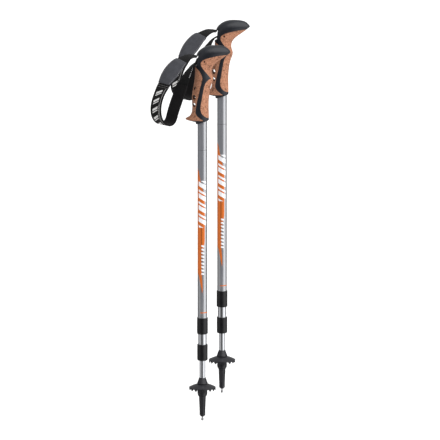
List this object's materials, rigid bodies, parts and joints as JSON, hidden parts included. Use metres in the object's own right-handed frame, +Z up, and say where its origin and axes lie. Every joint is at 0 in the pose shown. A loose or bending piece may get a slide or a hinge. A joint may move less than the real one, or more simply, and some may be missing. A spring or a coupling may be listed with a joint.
{
  "type": "trekking poles",
  "caption": "Pair of three-section twist-lock trekking poles, pushed together, with cork-faced beaked grips, padded wrist straps, toothed baskets and hard-metal points",
  "frame": {"origin": "centre of the flat ground face of the right hand pole's hard-metal point", "axes": "+Z up along the right hand pole's tube, +X the way the beak of the grip points, +Y from the right hand pole to the left hand pole"},
  "size_m": [0.1392, 0.3766, 0.71],
  "materials": {
    "tip_plastic": "tough flexible plastic",
    "carbide": "sintered hard metal",
    "cork": "pressed cork granules",
    "grip_rubber": "soft black thermoplastic rubber, satin",
    "dark_plastic": "moulded",
    "lock_plastic": "glass-filled",
    "steel": "darkened steel",
    "bare_tube": "satin anodised",
    "lining": "soft brushed lining",
    "pad_cloth": "grey knitted cover",
    "webbing": "woven black webbing",
    "printed_tube": "satin anodised with printed colour bands"
  },
  "bodies": {
    "right_grip_and_upper": {"right_grip_frame": "grip_rubber", "right_cork_rear": "cork", "right_cork_front": "cork", "right_cork_beak": "cork", "right_grip_base": "grip_rubber", "right_strap_pin": "steel", "right_strap_tail": "webbing", "right_upper_tube": "printed_tube", "right_upper_collar": "dark_plastic"},
    "right_middle_lock": {"right_middle_expander": "lock_plastic"},
    "right_middle_section": {"right_middle_tube": "bare_tube", "right_middle_plug": "lock_plastic", "right_middle_spindle": "steel", "right_middle_spindle_nut": "steel", "right_lower_collar": "dark_plastic"},
    "right_middle_cone_body": {"right_middle_cone": "lock_plastic"},
    "right_lower_lock": {"right_lower_expander": "lock_plastic"},
    "right_lower_section": {"right_lower_tube": "bare_tube", "right_lower_plug": "lock_plastic", "right_lower_spindle": "steel", "right_lower_spindle_nut": "steel", "right_flex_tip": "tip_plastic", "right_carbide_tip": "carbide"},
    "right_lower_cone_body": {"right_lower_cone": "lock_plastic"},
    "right_basket_body": {"right_basket": "tip_plastic"},
    "right_strap_loop": {"right_strap_webbing": "webbing", "right_strap_pad": "pad_cloth", "right_strap_lining": "lining"},
    "right_wedge_body": {"right_strap_wedge": "dark_plastic"},
    "left_grip_and_upper": {"left_grip_frame": "grip_rubber", "left_cork_rear": "cork", "left_cork_front": "cork", "left_cork_beak": "cork", "left_grip_base": "grip_rubber", "left_strap_pin": "steel", "left_strap_tail": "webbing", "left_upper_tube": "printed_tube", "left_upper_collar": "dark_plastic"},
    "left_middle_lock": {"left_middle_expander": "lock_plastic"},
    "left_middle_section": {"left_middle_tube": "bare_tube", "left_middle_plug": "lock_plastic", "left_middle_spindle": "steel", "left_middle_spindle_nut": "steel", "left_lower_collar": "dark_plastic"},
    "left_middle_cone_body": {"left_middle_cone": "lock_plastic"},
    "left_lower_lock": {"left_lower_expander": "lock_plastic"},
    "left_lower_section": {"left_lower_tube": "bare_tube", "left_lower_plug": "lock_plastic", "left_lower_spindle": "steel", "left_lower_spindle_nut": "steel", "left_flex_tip": "tip_plastic", "left_carbide_tip": "carbide"},
    "left_lower_cone_body": {"left_lower_cone": "lock_plastic"},
    "left_basket_body": {"left_basket": "tip_plastic"},
    "left_strap_loop": {"left_strap_webbing": "webbing", "left_strap_pad": "pad_cloth", "left_strap_lining": "lining"},
    "left_wedge_body": {"left_strap_wedge": "dark_plastic"}
  },
  "joints": [
    {"name": "right_middle_slide", "type": "slide", "parent": "right_grip_and_upper", "child": "right_middle_lock", "axis": [0, 0, -1], "range_m": [0, 0.375]},
    {"name": "right_middle_twist", "type": "hinge", "parent": "right_middle_lock", "child": "right_middle_section", "pos_m": [0, 0, 0.585], "axis": [0, 0, 1], "range_deg": [0, 720]},
    {"name": "right_middle_cone_lift", "type": "slide", "parent": "right_middle_lock", "child": "right_middle_cone_body", "axis": [0, 0, 1], "range_m": [0, 0.0025]},
    {"name": "right_lower_slide", "type": "slide", "parent": "right_middle_section", "child": "right_lower_lock", "axis": [0, 0, -1], "range_m": [0, 0.365]},
    {"name": "right_lower_twist", "type": "hinge", "parent": "right_lower_lock", "child": "right_lower_section", "pos_m": [0, 0, 0.5], "axis": [0, 0, 1], "range_deg": [0, 720]},
    {"name": "right_lower_cone_lift", "type": "slide", "parent": "right_lower_lock", "child": "right_lower_cone_body", "axis": [0, 0, 1], "range_m": [0, 0.0025]},
    {"name": "right_basket_turn", "type": "hinge", "parent": "right_lower_section", "child": "right_basket_body", "pos_m": [0, 0, 0.058], "axis": [0, 0, 1], "continuous": true},
    {"name": "right_strap_swing", "type": "hinge", "parent": "right_grip_and_upper", "child": "right_strap_loop", "pos_m": [-0.012, 0, 0.682], "axis": [0, 1, 0], "range_deg": [0, 30]},
    {"name": "right_wedge_slide", "type": "slide", "parent": "right_grip_and_upper", "child": "right_wedge_body", "axis": [-1, 0, 0], "range_m": [0, 0.003]},
    {"name": "left_middle_slide", "type": "slide", "parent": "left_grip_and_upper", "child": "left_middle_lock", "axis": [0, 0, -1], "range_m": [0, 0.375]},
    {"name": "left_middle_twist", "type": "hinge", "parent": "left_middle_lock", "child": "left_middle_section", "pos_m": [0, 0.262, 0.585], "axis": [0, 0, 1], "range_deg": [0, 720]},
    {"name": "left_middle_cone_lift", "type": "slide", "parent": "left_middle_lock", "child": "left_middle_cone_body", "axis": [0, 0, 1], "range_m": [0, 0.0025]},
    {"name": "left_lower_slide", "type": "slide", "parent": "left_middle_section", "child": "left_lower_lock", "axis": [0, 0, -1], "range_m": [0, 0.365]},
    {"name": "left_lower_twist", "type": "hinge", "parent": "left_lower_lock", "child": "left_lower_section", "pos_m": [0, 0.262, 0.5], "axis": [0, 0, 1], "range_deg": [0, 720]},
    {"name": "left_lower_cone_lift", "type": "slide", "parent": "left_lower_lock", "child": "left_lower_cone_body", "axis": [0, 0, 1], "range_m": [0, 0.0025]},
    {"name": "left_basket_turn", "type": "hinge", "parent": "left_lower_section", "child": "left_basket_body", "pos_m": [0, 0.262, 0.058], "axis": [0, 0, 1], "continuous": true},
    {"name": "left_strap_swing", "type": "hinge", "parent": "left_grip_and_upper", "child": "left_strap_loop", "pos_m": [-0.012, 0.262, 0.682], "axis": [0, 1, 0], "range_deg": [0, 30]},
    {"name": "left_wedge_slide", "type": "slide", "parent": "left_grip_and_upper", "child": "left_wedge_body", "axis": [-1, 0, 0], "range_m": [0, 0.003]},
    {"name": "pair_spacing", "type": "slide", "parent": "right_grip_and_upper", "child": "left_grip_and_upper", "axis": [0, 1, 0], "range_m": [0, 0.3]}
  ],
  "couplings": [
    {"joint": "right_middle_cone_lift", "follows": "right_middle_twist", "m_per_rad": 0.00019874},
    {"joint": "right_lower_cone_lift", "follows": "right_lower_twist", "m_per_rad": 0.00019874},
    {"joint": "left_middle_cone_lift", "follows": "left_middle_twist", "m_per_rad": 0.00019874},
    {"joint": "left_lower_cone_lift", "follows": "left_lower_twist", "m_per_rad": 0.00019874}
  ]
}
